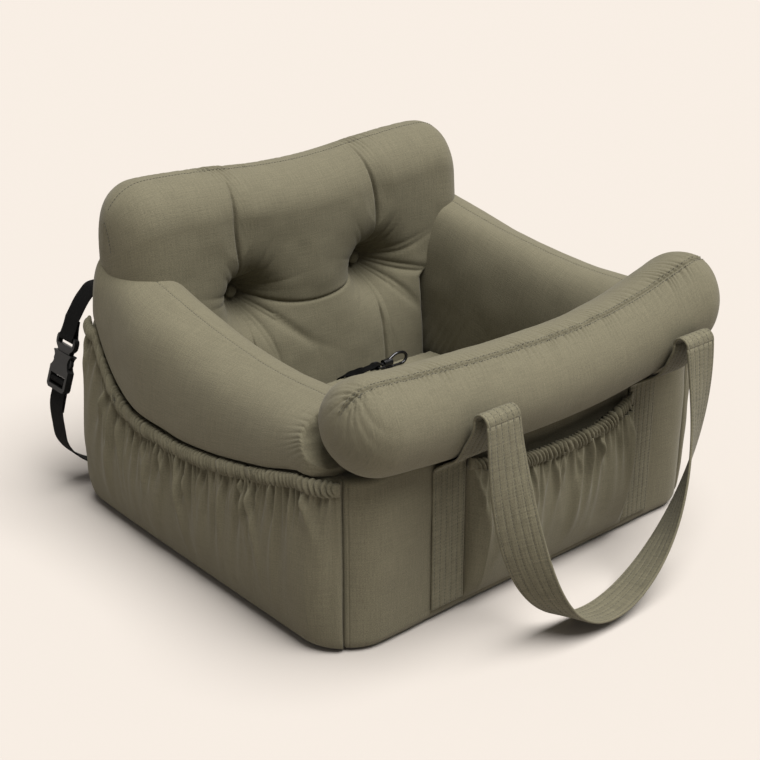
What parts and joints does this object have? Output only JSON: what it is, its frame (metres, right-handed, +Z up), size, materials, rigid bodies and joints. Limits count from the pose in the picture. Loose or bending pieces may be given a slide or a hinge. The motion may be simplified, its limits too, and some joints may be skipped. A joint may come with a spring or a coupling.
{
  "type": "dog car seat",
  "caption": "Soft booster box for a small dog with tufted backrest, arm bolsters, front roll, gathered pockets, carrying handles, seat strap with buckle and tether snap.",
  "frame": {"origin": "centre of the padded bottom's underside, on the surface it stands on", "axes": "+Z up, -Y to the open front with the front roll, +Y to the backrest, -X to the side with the buckle"},
  "size_m": [0.5876, 0.6904, 0.392],
  "materials": {
    "cover_fabric": "matt brushed polyester, olive grey",
    "trim_fabric": "the same cloth gathered over elastic",
    "grip_bottom": "matt coated cloth",
    "olive_webbing": "cloth webbing with stitch rows",
    "foam": "open cell foam",
    "black_webbing": "woven polypropylene webbing",
    "black_plastic": "moulded acetal, satin",
    "black_metal": "gloss black zinc casting"
  },
  "bodies": {
    "seat": {"bottom_panel": "grip_bottom", "base_foam": "foam", "front_panel": "cover_fabric", "right_panel": "cover_fabric", "back_panel": "cover_fabric", "left_panel": "cover_fabric", "front_foam_board": "foam", "right_foam_board": "foam", "back_foam_board": "foam", "left_foam_board": "foam", "left_arm_bolster": "cover_fabric", "right_arm_bolster": "cover_fabric", "front_roll": "cover_fabric", "backrest_cushion": "cover_fabric", "left_tuft_button": "trim_fabric", "right_tuft_button": "trim_fabric", "seat_cushion": "cover_fabric", "left_pocket": "cover_fabric", "right_pocket": "cover_fabric", "front_pocket": "cover_fabric", "left_pocket_hem": "trim_fabric", "right_pocket_hem": "trim_fabric", "front_pocket_hem": "trim_fabric", "front_left_strip": "olive_webbing", "front_right_strip": "olive_webbing", "front_left_fold": "olive_webbing", "front_right_fold": "olive_webbing", "back_left_strip": "olive_webbing", "back_right_strip": "olive_webbing", "back_left_fold": "olive_webbing", "back_right_fold": "olive_webbing", "short_seat_strap": "black_webbing", "long_seat_strap": "black_webbing", "left_strap_anchor": "black_webbing", "right_strap_anchor": "black_webbing", "buckle_plug": "black_plastic", "tether_webbing": "black_webbing", "swivel_eye": "black_metal"},
    "front_handle": {"front_handle": "olive_webbing"},
    "back_handle": {"back_handle": "olive_webbing"},
    "buckle_socket": {"buckle_socket": "black_plastic"},
    "left_prong": {"left_prong": "black_plastic"},
    "right_prong": {"right_prong": "black_plastic"},
    "snap_hook": {"snap_hook": "black_metal"},
    "snap_bolt": {"snap_bolt": "black_metal"}
  },
  "joints": [
    {"name": "front_handle_swing", "type": "hinge", "parent": "seat", "child": "front_handle", "pos_m": [0.014, -0.316, 0.252], "axis": [-1, 0, 0], "range_deg": [0, 170], "deforming": ["front_left_fold", "front_right_fold"]},
    {"name": "back_handle_swing", "type": "hinge", "parent": "seat", "child": "back_handle", "pos_m": [0, 0.2608, 0.222], "axis": [1, 0, 0], "range_deg": [0, 170], "deforming": ["back_left_fold", "back_right_fold"]},
    {"name": "buckle_release", "type": "slide", "parent": "seat", "child": "buckle_socket", "axis": [-0.3206, 0, -0.9472], "range_m": [0, 0.028], "deforming": ["left_prong", "right_prong", "long_seat_strap"]},
    {"name": "left_prong_squeeze", "type": "hinge", "parent": "seat", "child": "left_prong", "pos_m": [-0.2731, 0.27806, 0.17422], "axis": [-0.9472, 0, 0.3206], "range_deg": [0, 8], "stiffness_Nm_per_rad": 0.02},
    {"name": "right_prong_squeeze", "type": "hinge", "parent": "seat", "child": "right_prong", "pos_m": [-0.2731, 0.25694, 0.17422], "axis": [0.9472, 0, -0.3206], "range_deg": [0, 8], "stiffness_Nm_per_rad": 0.02},
    {"name": "snap_swivel", "type": "hinge", "parent": "seat", "child": "snap_hook", "pos_m": [0.062, 0.077, 0.12824], "axis": [1, 0, 0], "continuous": true},
    {"name": "snap_bolt_slide", "type": "slide", "parent": "snap_hook", "child": "snap_bolt", "axis": [-1, 0, 0], "range_m": [0, 0.0055], "stiffness_N_per_m": 60, "springref_m": -0.003}
  ]
}
